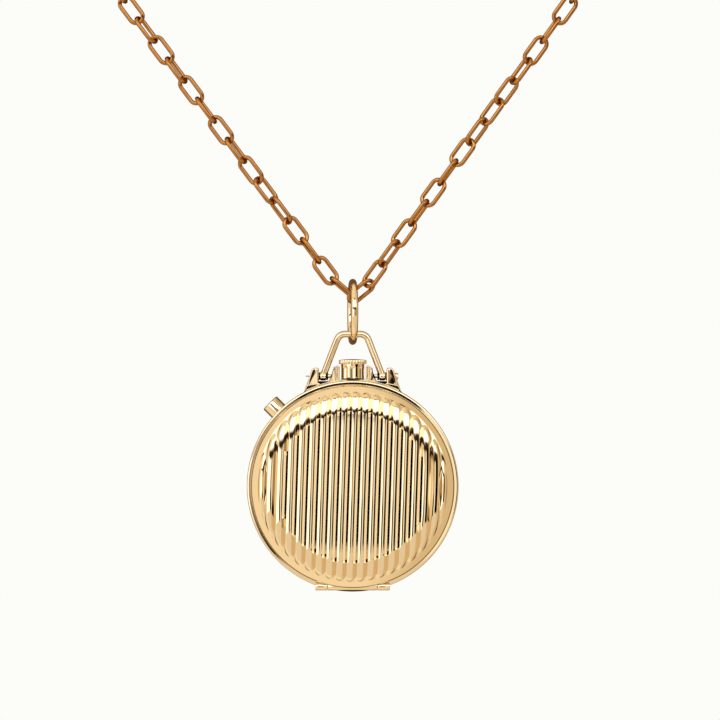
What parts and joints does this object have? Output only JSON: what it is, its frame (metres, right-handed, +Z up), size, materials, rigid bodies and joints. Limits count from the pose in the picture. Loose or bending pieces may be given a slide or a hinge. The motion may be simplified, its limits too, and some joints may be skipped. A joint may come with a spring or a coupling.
{
  "type": "pendant watch",
  "caption": "Hunter-case pendant watch with a reeded gold lid, crown, bow, bail ring and side pusher, hung on an oval-link chain, with dial, hands and hand-wound movement inside.",
  "frame": {"origin": "the middle between the upper ends of the two chain strands, where a neck holds the chain", "axes": "+Z up along the hanging line, -Y toward the viewer and the front lid, +X to the right in the picture"},
  "size_m": [0.0822, 0.0104, 0.0997],
  "materials": {
    "yellow_gold": "polished",
    "rose_gold": "polished",
    "steel": "polished",
    "blued_steel": "polished",
    "brass": "frosted",
    "glass": "clear",
    "dial_white": "enamel",
    "black_print": "enamel",
    "ruby": "polished"
  },
  "bodies": {
    "chain": {"chain_left": "rose_gold", "chain_right": "rose_gold", "clasp_ring": "rose_gold", "end_ring": "rose_gold"},
    "bolt": {"clasp_bolt": "rose_gold"},
    "ring": {"pendant_ring": "yellow_gold"},
    "bow": {"bow": "yellow_gold"},
    "case": {"case_middle": "yellow_gold", "lug_plate": "yellow_gold", "bow_screws": "yellow_gold", "hinge_pins": "yellow_gold", "glass_bezel": "yellow_gold", "crystal": "glass", "dial": "dial_white", "hour_markers": "black_print", "crown_tube": "yellow_gold", "lid_spring": "steel", "channel_screws": "blued_steel", "movement_ring": "brass", "case_clamps": "brass", "movement_screws": "blued_steel", "main_plate": "brass", "barrel_bridge": "brass", "train_bridge": "brass", "balance_cock": "brass", "pallet_cock": "brass", "jewels": "ruby", "winding_screws": "blued_steel", "click_spring": "steel"},
    "front_lid": {"lid": "yellow_gold"},
    "back": {"back_cover": "yellow_gold"},
    "winding": {"winding_pinion": "steel", "sliding_pinion": "steel"},
    "crown": {"crown": "yellow_gold", "stem": "steel"},
    "setting": {"setting_lever": "steel"},
    "pusher": {"pusher": "yellow_gold", "pusher_spring": "steel"},
    "catch": {"lid_catch": "steel"},
    "crown_wheel": {"crown_wheel": "steel"},
    "ratchet": {"ratchet_wheel": "steel", "barrel_arbor": "steel", "ratchet_screw": "blued_steel"},
    "click": {"click": "steel"},
    "barrel": {"barrel": "brass", "barrel_cover": "brass", "mainspring": "steel"},
    "centre": {"centre_wheel": "brass"},
    "third": {"third_wheel": "brass"},
    "fourth": {"fourth_wheel": "brass", "seconds_hand": "blued_steel"},
    "escape": {"escape_wheel": "brass"},
    "pallet": {"pallet_fork": "steel"},
    "balance": {"balance_wheel": "brass", "hairspring": "blued_steel"},
    "minutes": {"cannon_pinion": "steel", "minute_hand": "blued_steel"},
    "minute_wheel": {"minute_wheel": "brass"},
    "hours": {"hour_wheel": "brass", "hour_hand": "blued_steel"}
  },
  "joints": [
    {"name": "ring_swing", "type": "hinge", "parent": "chain", "child": "ring", "pos_m": [0, 0, -0.0511], "axis": [1, 0, 0], "range_deg": [-20, 20]},
    {"name": "bow_swing", "type": "hinge", "parent": "ring", "child": "bow", "pos_m": [0, 0, -0.05839], "axis": [1, 0, 0], "range_deg": [-50, 50]},
    {"name": "case_swing", "type": "hinge", "parent": "bow", "child": "case", "pos_m": [0, 0, -0.06479], "axis": [-1, 0, 0], "range_deg": [-90, 90]},
    {"name": "lid_hinge", "type": "hinge", "parent": "case", "child": "front_lid", "pos_m": [0, -0.0019, -0.09651], "axis": [1, 0, 0], "range_deg": [0, 105]},
    {"name": "back_hinge", "type": "hinge", "parent": "case", "child": "back", "pos_m": [0, 0.0019, -0.09651], "axis": [-1, 0, 0], "range_deg": [0, 105]},
    {"name": "winding_turn", "type": "hinge", "parent": "case", "child": "winding", "pos_m": [0, 0, -0.07239], "axis": [0, 0, 1], "continuous": true},
    {"name": "crown_pull", "type": "slide", "parent": "winding", "child": "crown", "axis": [0, 0, 1], "range_m": [0, 0.0005]},
    {"name": "setting_turn", "type": "hinge", "parent": "case", "child": "setting", "pos_m": [0.002, -0.0007, -0.07044], "axis": [0, 1, 0], "range_deg": [0, 15]},
    {"name": "pusher_push", "type": "slide", "parent": "case", "child": "pusher", "axis": [0.7071, 0, -0.7071], "range_m": [0, 0.00028], "stiffness_N_per_m": 400, "deforming": ["pusher_spring"]},
    {"name": "catch_turn", "type": "hinge", "parent": "case", "child": "catch", "pos_m": [-0.00249, 0, -0.06796], "axis": [0, -1, 0], "range_deg": [0, 2.2]},
    {"name": "crown_wheel_turn", "type": "hinge", "parent": "case", "child": "crown_wheel", "pos_m": [0, 0.0025, -0.07319], "axis": [0, 1, 0], "continuous": true},
    {"name": "ratchet_turn", "type": "hinge", "parent": "case", "child": "ratchet", "pos_m": [0.00366, 0.0025, -0.07773], "axis": [0, 1, 0], "continuous": true},
    {"name": "click_turn", "type": "hinge", "parent": "case", "child": "click", "pos_m": [0.00785, 0.0025, -0.07549], "axis": [0, 1, 0], "range_deg": [0, 12], "stiffness_Nm_per_rad": 0.0001},
    {"name": "barrel_turn", "type": "hinge", "parent": "case", "child": "barrel", "pos_m": [0.00366, 0.0007, -0.07773], "axis": [0, 1, 0], "continuous": true},
    {"name": "centre_turn", "type": "hinge", "parent": "case", "child": "centre", "pos_m": [0, 0.0016, -0.08139], "axis": [0, 1, 0], "continuous": true},
    {"name": "third_turn", "type": "hinge", "parent": "case", "child": "third", "pos_m": [-0.00303, 0.0008, -0.08502], "axis": [0, 1, 0], "continuous": true},
    {"name": "fourth_turn", "type": "hinge", "parent": "case", "child": "fourth", "pos_m": [0, 0.0012, -0.08769], "axis": [0, 1, 0], "continuous": true},
    {"name": "escape_turn", "type": "hinge", "parent": "case", "child": "escape", "pos_m": [0.00284, 0.0008, -0.08968], "axis": [0, 1, 0], "continuous": true},
    {"name": "pallet_turn", "type": "hinge", "parent": "case", "child": "pallet", "pos_m": [0.00428, 0.0008, -0.08803], "axis": [0, 1, 0], "range_deg": [-4, 4]},
    {"name": "balance_turn", "type": "hinge", "parent": "case", "child": "balance", "pos_m": [0.0066, 0.0011, -0.08539], "axis": [0, 1, 0], "range_deg": [-150, 150]},
    {"name": "minute_turn", "type": "hinge", "parent": "case", "child": "minutes", "pos_m": [0, -0.0005, -0.08139], "axis": [0, 1, 0], "continuous": true},
    {"name": "minute_wheel_turn", "type": "hinge", "parent": "case", "child": "minute_wheel", "pos_m": [0.0017, -0.0005, -0.07969], "axis": [0, 1, 0], "continuous": true},
    {"name": "hour_turn", "type": "hinge", "parent": "case", "child": "hours", "pos_m": [0, -0.0008, -0.08139], "axis": [0, 1, 0], "continuous": true},
    {"name": "bolt_slide", "type": "hinge", "parent": "chain", "child": "bolt", "pos_m": [-0.04032, 0, -0.00018], "axis": [-0.7896, 0.1736, -0.5885], "range_deg": [0, 50]}
  ],
  "couplings": [
    {"joint": "setting_turn", "follows": "crown_pull", "rad_per_m": 505},
    {"joint": "catch_turn", "follows": "pusher_push", "rad_per_m": 130},
    {"joint": "crown_wheel_turn", "follows": "winding_turn", "ratio": -0.58333},
    {"joint": "ratchet_turn", "follows": "winding_turn", "ratio": 0.38889},
    {"joint": "minute_wheel_turn", "follows": "minute_turn", "ratio": -0.33333},
    {"joint": "hour_turn", "follows": "minute_turn", "ratio": 0.083333},
    {"joint": "centre_turn", "follows": "barrel_turn", "ratio": -6.5},
    {"joint": "third_turn", "follows": "barrel_turn", "ratio": 52},
    {"joint": "fourth_turn", "follows": "barrel_turn", "ratio": -390},
    {"joint": "escape_turn", "follows": "barrel_turn", "ratio": 3900}
  ]
}
